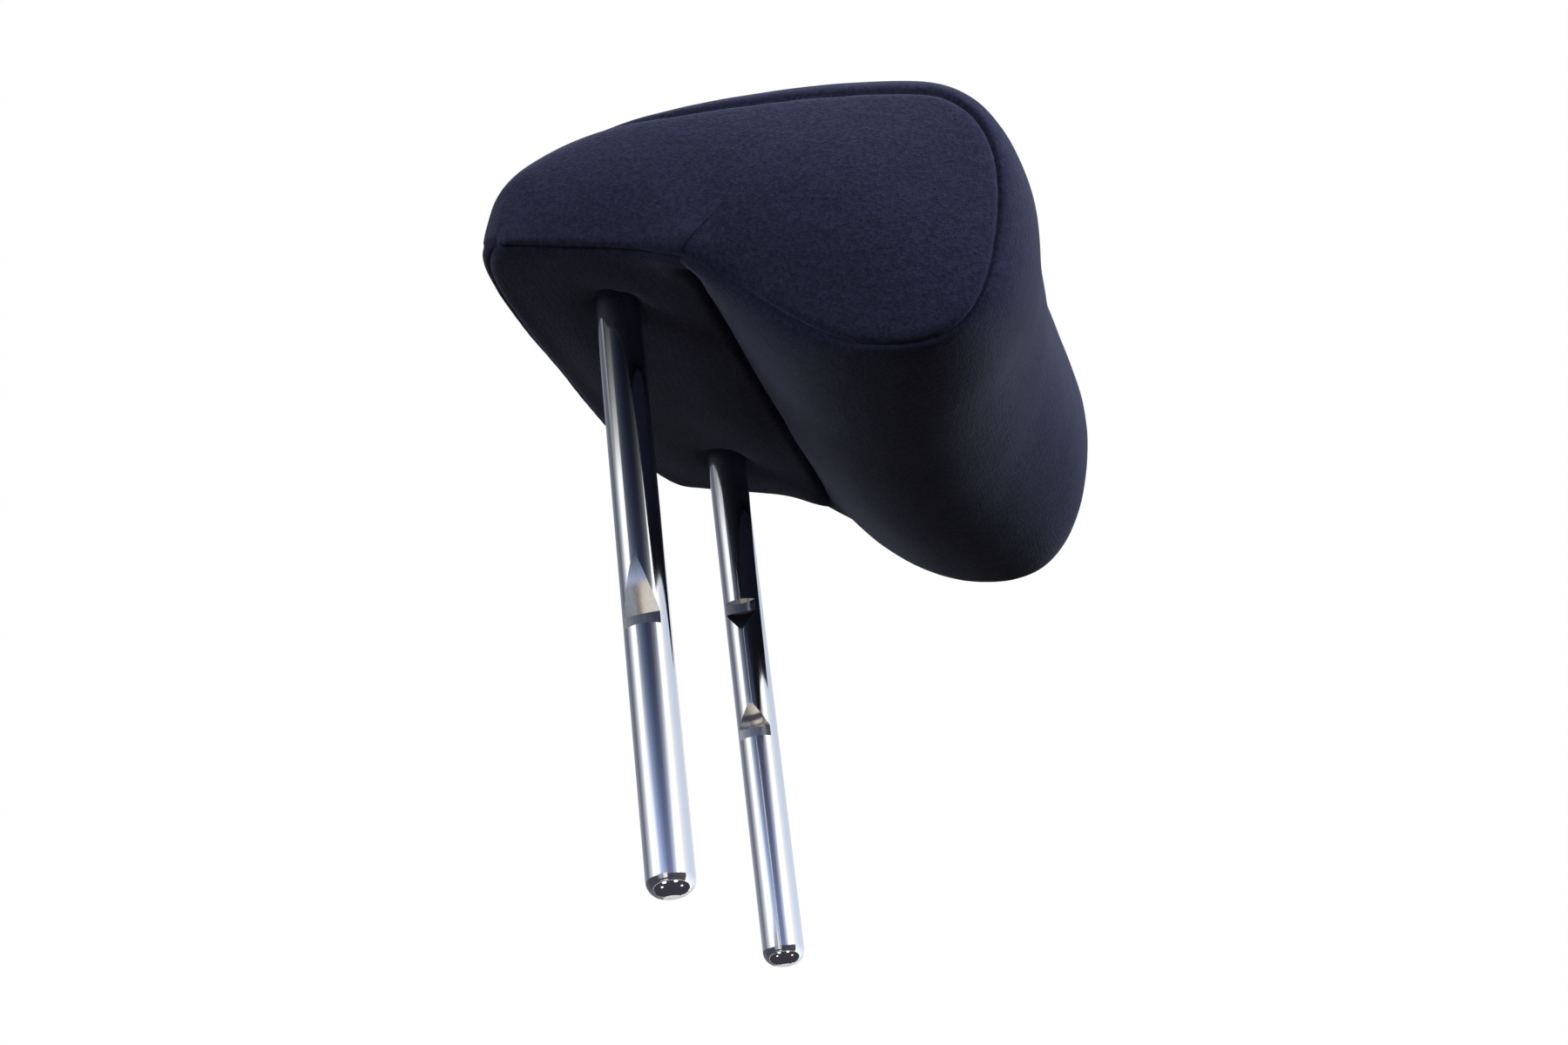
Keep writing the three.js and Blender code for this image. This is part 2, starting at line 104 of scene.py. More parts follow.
camera = bpy.data.objects.new("camera", bpy.data.cameras.new("camera"))
camera.data.lens = lens_length
camera.data.clip_start = 0.01
turned = Matrix((right, up, back)).transposed().to_4x4()
camera.matrix_world = Matrix.Translation(camera_place) @ turned
scene.collection.objects.link(camera)
scene.camera = camera
print("camera stands", round(camera_place.length, 3), "m from the origin")

# %% [markdown]
# ## The cushion's form
# A headrest cushion is moulded foam. Cut across, it is a rounded wedge: a flat underside
# where the posts leave, a lobe that hangs in front of the seat back, a tall front, and a
# back that runs down to a heel. One cut is drawn by a few key points joined by curves,
# and the key points move from one set in the middle to another at the side seams.
# A family of cuts keeps the seams on edge loops, which a sculpted block would lose.

# %% Key points of a cut, [forward, up] in the cushion's own level frame, in millimetres
crease = (28.5, 0)
middle_cut = {
    "lip": (13, -13), "lobe": (72, -26), "nose": (122, 14),
    "crown": (73, 66), "back": (-40, 9.5), "heel": (-37.5, 0),
    "lobe_handle": 0.55, "nose_handle": 0.6, "nose_flow": 0.54, "crown_flow": 0.52,
}
end_cut = {
    "lip": (8, -1), "lobe": (81, -22), "nose": (107.5, 6),
    "crown": (81, 49.5), "back": (-26.5, 19.5), "heel": (-25.5, 0),
    "lobe_handle": 0.34, "nose_handle": 0.75, "nose_flow": 0.64, "crown_flow": 0.39,
}
front_hollow = 14
reach_fullness, reach_roundness = 5.25, 1.15
rise_fullness, rise_roundness = 2.7, 2
back_handle = 0.47
heel_handle = (0.6, 0.15)


def lerp(a, b, share):
    return a + (b - a) * share


def share_at(t, fullness, roundness):
    return max(0, 1 - abs(t) ** fullness) ** (1 / roundness)


def cut_at(t):
    """The key points at a share t of the half width, 0 in the middle and 1 at a seam."""
    reach = share_at(t, reach_fullness, reach_roundness)
    rise = share_at(t, rise_fullness, rise_roundness)
    fullnesses = ("lobe_handle", "nose_handle", "nose_flow", "crown_flow")
    cut = {key: lerp(end_cut[key], middle_cut[key], rise) for key in fullnesses}
    for key in ("lip", "lobe", "nose", "crown", "back", "heel"):
        forward_share = reach if key in ("nose", "back", "heel") else rise
        cut[key] = np.array([
            lerp(end_cut[key][0], middle_cut[key][0], forward_share),
            lerp(end_cut[key][1], middle_cut[key][1], rise),
        ])
    cut["nose"][0] -= front_hollow * (1 - t * t)
    return cut


print("the middle cut reaches", round(cut_at(0)["nose"][0]), "mm forward")

# %% [markdown]
# ## From a cut to a ring of points
# Each curve is a cubic with four corners. Points gather at the crease and the heel, where
# the sewn edges need short faces, and spread evenly where the cloth is smooth. The ring
# closes along the flat underside.

# %% Curves and how points spread on them
gathering = 1.7


def cubic(corners, shares):
    a, b, c, d = (np.asarray(corner, float) for corner in corners)
    s = np.asarray(shares)[:, None]
    return (1 - s) ** 3 * a + 3 * (1 - s) ** 2 * s * b + 3 * (1 - s) * s ** 2 * c + s ** 3 * d


def even(steps):
    return np.linspace(0, 1, steps, endpoint=False)


def gathered(steps):
    """Shares from 0 to 1 that crowd towards both ends."""
    s = even(steps)
    return np.where(s < 0.5, 0.5 * (2 * s) ** gathering, 1 - 0.5 * (2 - 2 * s) ** gathering)


# %% Rings of points
lobe_steps = 30
steps_after_lobe = {"nose": 28, "crown": 34, "back": 60, "heel": 16, "base": 44}


def ring_at(t):
    """A closed ring of [forward, up] points, and the column where the underside starts."""
    cut = cut_at(t)
    lip = np.add(crease, cut["lip"])
    lobe, nose, crown, rear, heel = (cut[key] for key in ("lobe", "nose", "crown", "back", "heel"))
    lobe_handle, nose_handle, nose_flow, crown_flow = (
        cut[key] for key in ("lobe_handle", "nose_handle", "nose_flow", "crown_flow"))
    curves = [
        ([crease, lip, (lerp(lobe[0], crease[0], lobe_handle), lobe[1]), lobe],
         lobe_steps, gathered),
        ([lobe, (lerp(lobe[0], nose[0], nose_handle), lobe[1]),
          (nose[0], lerp(nose[1], lobe[1], nose_handle)), nose], steps_after_lobe["nose"], even),
        ([nose, (nose[0], lerp(nose[1], crown[1], nose_flow)),
          (lerp(crown[0], nose[0], nose_flow), crown[1]), crown], steps_after_lobe["crown"], even),
        ([crown, (lerp(crown[0], rear[0], crown_flow), crown[1]),
          (rear[0], lerp(rear[1], crown[1], back_handle)), rear], steps_after_lobe["back"], even),
        ([rear, (rear[0], rear[1] / 2),
          (lerp(rear[0], heel[0], heel_handle[0]), heel_handle[1] * rear[1]), heel],
         steps_after_lobe["heel"], even),
        ([heel, lerp(heel, np.array(crease), 1 / 3), lerp(heel, np.array(crease), 2 / 3), crease],
         steps_after_lobe["base"], gathered),
    ]
    parts = [cubic(corners, spread(steps)) for corners, steps, spread in curves]
    return np.vstack(parts), sum(len(part) for part in parts[:-1])


print("points round one cut:", len(ring_at(0)[0]))

# %% [markdown]
# ## One closed skin
# The rings run from the right seam to the left one, and each side panel is a low pillow
# inside its seam. A panel held at its edge and pressed from behind takes the shape of a
# blown film, so the film is worked out first, by letting each point of a grid settle to
# the mean of its neighbours. One closed skin, with its seams drawn in afterwards, can't gape.

# %% The side panel as a stretched film
side_bulge = side_reach - seam_half
film_cell = 1.5
film_rounds = 3000


def inside_outline(outline, forward, up_):
    """True where a point lies inside the closed outline."""
    inside = np.zeros(forward.shape, bool)
    for (a1, b1), (a2, b2) in zip(outline, np.roll(outline, -1, axis=0)):
        crosses = (b1 > up_) != (b2 > up_)
        with np.errstate(divide="ignore", invalid="ignore"):
            inside ^= crosses & (forward < (a2 - a1) * (up_ - b1) / (b2 - b1) + a1)
    return inside


def film_over(outline):
    """Heights of an evenly blown film held at the outline, 1 at its highest, on a square grid."""
    low = outline.min(axis=0) - 2 * film_cell
    size = np.ceil((outline.max(axis=0) + 2 * film_cell - low) / film_cell).astype(int)
    forward, up_ = np.meshgrid(low[0] + film_cell * np.arange(size[0]),
                               low[1] + film_cell * np.arange(size[1]), indexing="ij")
    inside = inside_outline(outline, forward, up_)
    film = np.zeros(forward.shape)
    for _ in range(film_rounds):
        beside = film[2:, 1:-1] + film[:-2, 1:-1] + film[1:-1, 2:] + film[1:-1, :-2]
        film[1:-1, 1:-1] = beside / 4 + 1
        film[~inside] = 0
    return low, film / film.max()


def film_height(low, film, flat):
    """The film's height at [forward, up] points, between the grid's own points."""
    at = (flat - low) / film_cell
    cell = np.clip(np.floor(at).astype(int), 0, np.array(film.shape) - 2)
    (i, j), (u, v) = cell.T, (at - cell).T
    return (film[i, j] * (1 - u) * (1 - v) + film[i + 1, j] * u * (1 - v)
            + film[i, j + 1] * (1 - u) * v + film[i + 1, j + 1] * u * v)


seam_ring, base_column = ring_at(1)
film_low, film = film_over(seam_ring)
film_top = film_low + film_cell * np.array(np.unravel_index(film.argmax(), film.shape))
print("film grid:", film.shape, "highest at", film_top)

# %% Skin of the cushion
dome_middle = np.array([40.0, 16.0])
dome_rings, dome_crowding = 30, 1.5
stations_per_side, station_crowding = 44, 1.8


def to_row(across, forward, up_):
    """From the cushion's level frame to the row frame, in millimetres."""
    y = -forward * math.cos(lean) - up_ * math.sin(lean)
    z = -forward * math.sin(lean) + up_ * math.cos(lean)
    return np.stack([np.broadcast_to(across, y.shape), y, z], axis=-1)


def skin_rings():
    """Rings of the whole skin from the right dome to the left one, and which of them are seams."""
    shares = 1 - (1 - np.linspace(0, 1, stations_per_side + 1)) ** station_crowding
    stations = np.concatenate([shares[:0:-1], [0], -shares[1:]])
    dome_shares = 1 - np.linspace(0, 1, dome_rings, endpoint=False)[1:] ** dome_crowding
    rings = []
    for side in (1, -1):
        dome = []
        for share in dome_shares:
            flat = lerp(dome_middle, seam_ring, share)
            out = side * (seam_half + side_bulge * film_height(film_low, film, flat))
            dome.append(to_row(out, flat[:, 0], flat[:, 1]))
        rings.append(dome)
    body = []
    for t in stations:
        flat, _ = ring_at(t)
        body.append(to_row(t * seam_half, flat[:, 0], flat[:, 1]))
    grid = np.array(rings[0][::-1] + body + rings[1])
    seams = (len(dome_shares), len(dome_shares) + len(body) - 1)
    return grid, seams


def skin_mesh(name, grid):
    """A closed mesh through the rings, with a middle point at each end."""
    count, columns, _ = grid.shape
    points = np.vstack([grid.reshape(-1, 3), grid[0].mean(axis=0), grid[-1].mean(axis=0)]) * MM
    faces = []
    for i in range(count - 1):
        here, there = i * columns, (i + 1) * columns
        for j in range(columns):
            k = (j + 1) % columns
            faces.append((here + j, there + j, there + k, here + k))
    last = (count - 1) * columns
    for j in range(columns):
        k = (j + 1) % columns
        faces.append((count * columns, j, k))
        faces.append((count * columns + 1, last + k, last + j))
    mesh = bpy.data.meshes.new(name)
    mesh.from_pydata(points.tolist(), [], faces)
    mesh.validate()
    return mesh


grid, seams = skin_rings()
print("rings and columns:", grid.shape[:2])

# %% [markdown]
# ## Soft corners
# Foam can't hold a knife edge, so the cloth rounds every corner it goes over. Each line of
# points that crosses a corner is resampled evenly and blurred, and the blur is wider at
# the back, where the side panel is wrapped round the corner, than along the front.

# %% Blurring along a line
blur_step = 0.4


def along(lines):
    """Distance of each point from the first of its line, along the line."""
    steps = np.linalg.norm(np.diff(lines, axis=1), axis=2)
    return np.insert(np.cumsum(steps, axis=1), 0, 0, axis=1)


def blurred(line, distance, radius):
    """The line with a Gaussian blur of the given radius, in millimetres, along it."""
    even_at = np.arange(0, distance[-1], blur_step)
    reach = math.ceil(3 * radius / blur_step)
    weights = np.exp(-0.5 * (np.arange(-reach, reach + 1) * blur_step / radius) ** 2)
    weights /= weights.sum()
    smooth = np.empty_like(line)
    for axis in range(3):
        evenly = np.pad(np.interp(even_at, distance, line[:, axis]), reach, mode="edge")
        smooth[:, axis] = np.interp(distance, even_at, np.convolve(evenly, weights, mode="valid"))
    return smooth


def window(distance, reach):
    """1 at the line itself, falling smoothly to 0 at the given reach."""
    return np.clip(1 - (distance / reach) ** 2, 0, 1) ** 2


# %% Round the corners
softer_behind, softer_over = 20, 45
front_blur, rear_blur = 1.6, 6.0
blur_reach = 4

rearward = np.clip((softer_behind - seam_ring[:, 0]) / softer_over, 0, 1)
corner_blur = lerp(front_blur, rear_blur, rearward)
across = np.swapaxes(grid, 0, 1)
across_at = along(across)
rounded = across.copy()
for column, line in enumerate(across):
    smooth = blurred(line, across_at[column], corner_blur[column])
    near = sum(window(across_at[column] - across_at[column, ring], blur_reach * corner_blur[column])
               for ring in seams)
    rounded[column] += (smooth - line) * np.clip(near, 0, 1)[:, None]
grid = np.swapaxes(rounded, 0, 1)

heel_blur = 2.2
for row in grid[seams[0]:seams[1] + 1]:
    at = along(row[None])[0]
    near = window(at - at[base_column], blur_reach * heel_blur)
    row += (blurred(row, at, heel_blur) - row) * near[:, None]
print("corners rounded by", corner_blur.min().round(1), "to", corner_blur.max().round(1), "mm")

# %% Round the corner of the crease inside each side panel
panel_blur, panel_blur_reach, sewn_rows = 3.5, 45, 4

for row in (*grid[:seams[0] - sewn_rows], *grid[seams[1] + sewn_rows + 1:]):
    three_times = np.vstack([row, row, row])
    at = along(three_times[None])[0]
    smooth = blurred(three_times, at, panel_blur)[len(row):2 * len(row)]
    near = window(np.linalg.norm(row - row[0], axis=1), panel_blur_reach)
    row += (smooth - row) * near[:, None]
print("side panels rounded by", panel_blur, "mm near the crease")

# %% [markdown]
# ## Blown up like a real cover
# A cover is cut a little small, and the foam pushes it out until the cloth is taut. The
# same thing is done here with Blender's cloth: a slightly smaller copy of the skin is
# remeshed evenly, held at the crease and round the posts, and blown up for twenty frames.
# The upper skin is held by two thirds, as if a post were near: left free, it rises at the
# top and sinks at the back, away from the photograph. How far each place moved is then
# carried over to the fine skin, so that the seams can be drawn where they belong.

# %% Points and normals of a mesh
def vertex_normals(mesh):
    normals = np.empty(len(mesh.vertices) * 3)
    mesh.vertices.foreach_get("normal", normals)
    return normals.reshape(-1, 3)


def mesh_points(mesh):
    points = np.empty(len(mesh.vertices) * 3)
    mesh.vertices.foreach_get("co", points)
    return points.reshape(-1, 3)


def set_points(mesh, points):
    mesh.vertices.foreach_set("co", points.ravel())
    mesh.update()


def evaluated_mesh(piece):
    """The piece's mesh with its modifiers applied."""
    graph = bpy.context.evaluated_depsgraph_get()
    return bpy.data.meshes.new_from_object(piece.evaluated_get(graph))


# %% Carry a movement over
carrying_places, carrying_softness = 24, 4.0


def tree_of(places):
    tree = KDTree(len(places))
    for index, spot in enumerate(places):
        tree.insert(spot, index)
    tree.balance()
    return tree


def carried(grid, places, moves):
    """The grid moved by a soft average of the moves of the nearest places."""
    tree = tree_of(places)
    moved = grid.copy()
    for at in np.ndindex(grid.shape[:2]):
        near = tree.find_n(grid[at], carrying_places)
        weights = np.array([1 / (distance + carrying_softness) ** 2 for _, _, distance in near])
        moved[at] += weights @ moves[[index for _, index, _ in near]] / weights.sum()
    return moved


# %% Where the pad is held
held_reach = 9.0
top_height = 15.0
top_distance = held_reach - post_radius


def grip_at(surface, crease_line):
    """How firmly each point is held, 1 at the crease and the posts, 0 where it's free."""
    grip = np.zeros(len(surface))
    for index, spot in enumerate(surface):
        from_axis = min(math.hypot(spot[0] - side * post_offset, spot[1]) for side in (-1, 1))
        from_posts = top_distance if spot[2] > top_height else from_axis - post_radius
        closest = min(crease_line.find(spot)[2], from_posts)
        grip[index] = np.clip(1 - closest / held_reach, 0, 1)
    return grip


# %% Cloth on a coarse copy
voxel = 5 * MM
pad_frames = 20
cloth_settings = {
    "quality": 6, "mass": 0.003, "time_scale": 1.5,
    "tension_stiffness": 5, "compression_stiffness": 5,
    "shear_stiffness": 2, "bending_stiffness": 0.2,
    "use_pressure": True, "uniform_pressure_force": 4,
}


def remeshed_pad(grid):
    pad = bpy.data.objects.new("pad", skin_mesh("pad", grid))
    scene.collection.objects.link(pad)
    remesh = pad.modifiers.new("even", "REMESH")
    remesh.mode, remesh.voxel_size = "VOXEL", voxel
    pad.data = evaluated_mesh(pad)
    pad.modifiers.clear()
    return pad


def blow(pad, grip):
    """The points of the pad, in millimetres, after a cloth simulation."""
    held = pad.vertex_groups.new(name="held")
    for index, weight in enumerate(grip):
        held.add([index], weight, "REPLACE")
    cloth_pass = pad.modifiers.new("cloth", "CLOTH")
    for name, value in cloth_settings.items():
        setattr(cloth_pass.settings, name, value)
    cloth_pass.settings.vertex_group_mass = held.name
    cloth_pass.settings.effector_weights.gravity = 0
    cloth_pass.collision_settings.use_collision = False
    cloth_pass.point_cache.frame_start, cloth_pass.point_cache.frame_end = 1, pad_frames
    for frame_number in range(1, pad_frames + 1):
        scene.frame_set(frame_number)
    return mesh_points(evaluated_mesh(pad)) / MM


# %% Blow up the pad, and carry its movement to the fine skin
pad_shrink = 0.8
most_swell = 3.0


def blown_up(grid):
    """The grid after a cloth simulation of a coarse copy of it."""
    pad = remeshed_pad(grid)
    surface = mesh_points(pad.data) / MM
    grip = grip_at(surface, tree_of(grid[seams[0]:seams[1] + 1, 0]))
    inner = surface - (pad_shrink * (1 - grip))[:, None] * vertex_normals(pad.data)
    set_points(pad.data, inner * MM)
    moves = blow(pad, grip) - inner
    lengths = np.linalg.norm(moves, axis=1, keepdims=True)
    moves *= np.minimum(1, (pad_shrink + most_swell) / np.maximum(lengths, 1e-6))
    print(f"pad of {len(surface)} points, {lengths.mean():.1f} mm moved on average,",
          f"{lengths.max():.1f} mm at most")
    scene.frame_set(1)
    bpy.data.objects.remove(pad)
    return carried(grid, surface, moves - (surface - inner))


grid = blown_up(grid)

# %% [markdown]
# ## Distances to the seams
# Sewn edges are drawn by moving the skin along its normals, by an amount that depends only
# on how far a point is from the seam. The distance is measured along the skin, ring by
# ring or column by column, so it is right on both sides of a corner. At the back the side
# seam leaves the corner and runs behind it, where only the rear view shows it.

# %% How far the side seam drifts behind its corner
seam_drift = 15
drift_from, drift_over, drift_rise, drift_bend = 18, 42, 8, 1.5


def drift_at(flat):
    """How far the side seam runs towards the middle from the corner, by [forward, up]."""
    behind = np.clip((drift_from - flat[:, 0]) / drift_over, 0, 1)
    above = np.clip(flat[:, 1] / drift_rise, 0, 1)
    return seam_drift * behind ** drift_bend * above


# %% Measure along the skin, in millimetres
no_seam = 1e3
across_at = along(np.swapaxes(grid, 0, 1))
drift = drift_at(seam_ring)[:, None]
from_side_seam = np.minimum(
    np.abs(across_at - across_at[:, seams[:1]] - drift),
    np.abs(across_at - across_at[:, seams[1:]] + drift)).T
body_rows = slice(seams[0], seams[1] + 1)
around = along(np.concatenate([grid, grid[:, :1]], axis=1))
length_round = around[:, -1:]
around = around[:, :-1]
from_heel = np.full(grid.shape[:2], no_seam)
from_heel[body_rows] = np.abs(around - around[:, base_column:base_column + 1])[body_rows]
from_crease = np.full(grid.shape[:2], no_seam)
from_crease[body_rows] = np.minimum(around, length_round - around)[body_rows]
print("widest panel half:", round(from_side_seam.max()), "mm from a side seam")

# %% [markdown]
# ## Seams, crease and post exits
# A sewn seam pulls the cloth down into a thin groove, and the foam stands up in a soft
# roll beside it. The crease behind the lobe is deeper: the two edges of the cover close
# there on a strip. It runs out into a small pucker at each side, where the corner of the
# foam fills the cloth. Where a post leaves, the cloth is drawn up with it. Moulded foam is
# never quite even, so a little slow noise goes over the whole skin.

# %% Shapes of a groove and of the rolls beside it
groove_sharpness = 1.3


def groove(distance, depth, width):
    return -depth * np.exp(-(distance / width) ** groove_sharpness)


def roll(distance, height, reach):
    return height * (distance / reach) * np.exp(1 - distance / reach)


def sewn(distance):
    """A seam's groove with the soft roll beside it."""
    return groove(distance, seam_depth, seam_width) + roll(distance, roll_height, roll_reach)


def level_forward(points):
    """How far forward a point lies in the cushion's level frame."""
    return -points[..., 1] * math.cos(lean) - points[..., 2] * math.sin(lean)


# %% Seams and crease
seam_depth, seam_width = 1.3, 0.8
roll_height, roll_reach = 0.3, 4.0
seam_fade = 25
crease_depth, crease_width = 4.6, 1.1
crease_starts, crease_grows = 3, 12

# The seam under the lobe fades where the lobe's side melts into the corner of the crease.
past_crease = np.clip((level_forward(grid) - crease[0]) / seam_fade, 0, 1)
under_lobe = np.zeros(grid.shape[1])
under_lobe[:lobe_steps] = 1
seam_share = 1 - under_lobe * (1 - past_crease ** 2)
push = seam_share * sewn(from_side_seam) + sewn(from_heel)
inward = np.abs(across_at - across_at[:, seams[:1]]).T
inward = np.minimum(inward, np.abs(across_at - across_at[:, seams[1:]]).T)
crease_share = np.clip((inward - crease_starts) / crease_grows, 0, 1)
push += groove(from_crease, crease_depth, crease_width) * crease_share
print(f"seams and crease drawn, deepest {push.min():.1f} mm")

# %% Corners of the crease and post exits
exit_depth, exit_reach = 2.0, 1.8
gather_depth, gathers = 0.3, 5
corner_fill, corner_reach = 2.2, 11.0
pucker_depth, pucker_reach, pucker_in = 1.6, 4.0, 7.0

for ring in seams:
    corner = grid[ring, 0]
    push += corner_fill * np.exp(-(np.linalg.norm(grid - corner, axis=2) / corner_reach) ** 2)
    pucker = grid[ring, 0] - np.array([math.copysign(pucker_in, corner[0]), 0, 0])
    push -= pucker_depth * np.exp(-(np.linalg.norm(grid - pucker, axis=2) / pucker_reach) ** 2)
for side in (-1, 1):
    reach = np.hypot(grid[:, :, 0] - side * post_offset, grid[:, :, 1])
    on_base = np.zeros(grid.shape[:2], bool)
    on_base[body_rows, base_column:] = True
    turn = np.arctan2(grid[:, :, 1], grid[:, :, 0] - side * post_offset)
    drawn = np.exp(-np.maximum(reach - post_radius, 0) / exit_reach)
    drawn *= exit_depth + gather_depth * np.cos(gathers * turn + side)
    push -= np.where(on_base, drawn, 0)
push = np.maximum(push, -crease_depth)
print(f"corners and exits drawn, from {push.min():.1f} to {push.max():.1f} mm")

# %% The cushion's mesh
cushion = bpy.data.objects.new("cushion", skin_mesh("cushion", grid))
scene.collection.objects.link(cushion)
skin_check = bmesh.new()
skin_check.from_mesh(cushion.data)
if skin_check.calc_volume(signed=True) < 0:
    cushion.data.flip_normals()
volume = abs(skin_check.calc_volume()) / MM ** 3 / 1000
print(f"skin of {len(cushion.data.polygons)} faces, volume {volume:.0f} cm3")
skin_check.free()

# %% Push the skin along its normals
large_lumps = {"height": 0.4, "size": 28, "seed": 3}
small_lumps = {"height": 0.1, "size": 9, "seed": 7}


def slow_noise(points, height, size, seed):
    """Even noise of about the given height, with lumps of the given size, in millimetres."""
    return height * np.array([noise.noise(Vector(p / size) + Vector((seed, 0, 0))) for p in points])


points = mesh_points(cushion.data) / MM
lumps = slow_noise(points, **large_lumps) + slow_noise(points, **small_lumps)
push_all = np.append(push.ravel(), [0, 0]) + lumps
set_points(cushion.data, (points + vertex_normals(cushion.data) * push_all[:, None]) * MM)
for polygon in cushion.data.polygons:
    polygon.use_smooth = True
print(f"pushed between {push_all.min():.1f} and {push_all.max():.1f} mm")

# %% [markdown]
# ## Helpers for finishes
# Every finish is made of nodes, so it needs no picture files. Object coordinates give each
# grain its real size in metres, on any side of the piece.

# %% Node helpers
def finish(name, colour, roughness, metallic=0.0, specular=0.5):
    """A material with one main shader, and its node tree."""
    material = bpy.data.materials.new(name)
    material.use_nodes = True
    tree = material.node_tree
    shader = tree.nodes["Principled BSDF"]
    shader.inputs["Base Color"].default_value = (*colour, 1)
    shader.inputs["Roughness"].default_value = roughness
    shader.inputs["Metallic"].default_value = metallic
    shader.inputs["Specular IOR Level"].default_value = specular
    return material, tree, shader


def node(tree, kind, inputs=None, **settings):
    made = tree.nodes.new(kind)
    for key, value in settings.items():
        setattr(made, key, value)
    for key, value in (inputs or {}).items():
        if isinstance(value, bpy.types.NodeSocket):
            tree.links.new(value, made.inputs[key])
        else:
            made.inputs[key].default_value = value
    return made


def place(tree, stretch=(1, 1, 1)):
    """Object coordinates in metres, stretched."""
    coordinates = node(tree, "ShaderNodeTexCoord")
    inputs = {"Vector": coordinates.outputs["Object"], "Scale": stretch}
    return node(tree, "ShaderNodeMapping", inputs).outputs[0]


def grey(value):
    return (value, value, value)


def grain(tree, where, size, detail=2.0, roughness=0.5):
    """Noise between 0 and 1 with grains of the given size in metres."""
    return node(tree, "ShaderNodeTexNoise", {
        "Vector": where, "Scale": 1 / size, "Detail": detail, "Roughness": roughness,
    }).outputs["Fac"]


def ramp(tree, value, stops):
    """A colour or grey for a value, through the given stops."""
    made = node(tree, "ShaderNodeValToRGB", {"Fac": value})
    elements = made.color_ramp.elements
    while len(elements) < len(stops):
        elements.new(0.5)
    for element, (position, colour) in zip(elements, stops):
        element.position = position
        element.color = colour if len(colour) == 4 else (*colour, 1)
    return made.outputs["Color"]


def bump(tree, height, strength, distance, under=None):
    inputs = {"Height": height, "Strength": strength, "Distance": distance}
    if under is not None:
        inputs["Normal"] = under
    return node(tree, "ShaderNodeBump", inputs).outputs["Normal"]


def maths(tree, operation, first, second):
    return node(tree, "ShaderNodeMath", {0: first, 1: second}, operation=operation).outputs[0]


def mix(tree, share, first, second):
    """The first colour at share 0, the second at share 1."""
    inputs = {0: share, 6: first, 7: second}
    return node(tree, "ShaderNodeMix", inputs, data_type="RGBA").outputs[2]


# %% [markdown]
# ## Navy knit
# The cover is a fine knitted cloth laminated to a thin foam. Its loops are under a
# millimetre, each a little lighter or darker, so the colour looks flat from afar and
# mottled close to. Loose fibres at the surface catch light that grazes it, which is what
# the shader's sheen is for.

# %% Cloth
navy_dark, navy_light = (0.0165, 0.018, 0.042), (0.03, 0.0335, 0.075)
loop_size, fibre_size, mottle_size = 0.8 * MM, 0.25 * MM, 2 * MM
loop_height, fibre_height = 0.25 * MM, 0.1 * MM
cloth, tree, shader = finish("navy_knit", navy_dark, 0.95, specular=0.1)
where = place(tree)
loops = node(tree, "ShaderNodeTexVoronoi", {
    "Vector": where, "Scale": 1 / loop_size, "Randomness": 0.6})
fibres = grain(tree, where, fibre_size, detail=3)
mottle = grain(tree, where, mottle_size, detail=3, roughness=0.6)
per_loop = node(tree, "ShaderNodeSeparateColor", {"Color": loops.outputs["Color"]}).outputs[0]
tone = maths(tree, "ADD", per_loop, fibres)
tone = maths(tree, "ADD", tone, mottle)
tone = maths(tree, "MULTIPLY", tone, 1 / 3)
tree.links.new(ramp(tree, tone, [(0.3, navy_dark), (0.7, navy_light)]), shader.inputs["Base Color"])
relief = bump(tree, loops.outputs["Distance"], 0.5, loop_height)
relief = bump(tree, fibres, 0.3, fibre_height, relief)
tree.links.new(relief, shader.inputs["Normal"])
shader.inputs["Sheen Weight"].default_value = 0.25
shader.inputs["Sheen Roughness"].default_value = 0.45
shader.inputs["Sheen Tint"].default_value = (0.5, 0.55, 0.7, 1)
cushion.data.materials.append(cloth)
print("cloth loops of", loop_size / MM, "mm")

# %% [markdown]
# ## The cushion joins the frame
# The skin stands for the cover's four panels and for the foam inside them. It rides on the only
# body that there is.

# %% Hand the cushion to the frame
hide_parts("cover_main_panel", "cover_left_panel", "cover_right_panel",
            "cover_base_panel", "foam_bun")
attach(cushion, "root")
print("cushion size in mm:", [round(side / MM) for side in cushion.dimensions])

# %% [markdown]
# ## The bent bar
# One steel bar makes both posts and the loop inside the cushion. Chrome shows every facet,
# so the bar is swept again with many sides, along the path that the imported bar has. The
# tips are rounded to a small flat, as a pressed end is. The straight stretches get hoops
# too: over one long face a tilted normal would bend the whole reflection.

# %% Hoops along the bar, in millimetres
bend_radius = 16
bend_start = 2
crossbar_reach = 74
tip_flat = 1.6
bar_sides = 96
bend_steps = 12
tip_steps = 10
post_steps = 48
support_gap = 0.3


def hoop(centre, u, v, radius):
    angles = np.linspace(0, 2 * math.pi, bar_sides, endpoint=False)[:, None]
    return centre + radius * (np.cos(angles) * u + np.sin(angles) * v)


def quarter_turns(steps):
    return [math.pi / 2 * k / steps for k in range(steps + 1)]


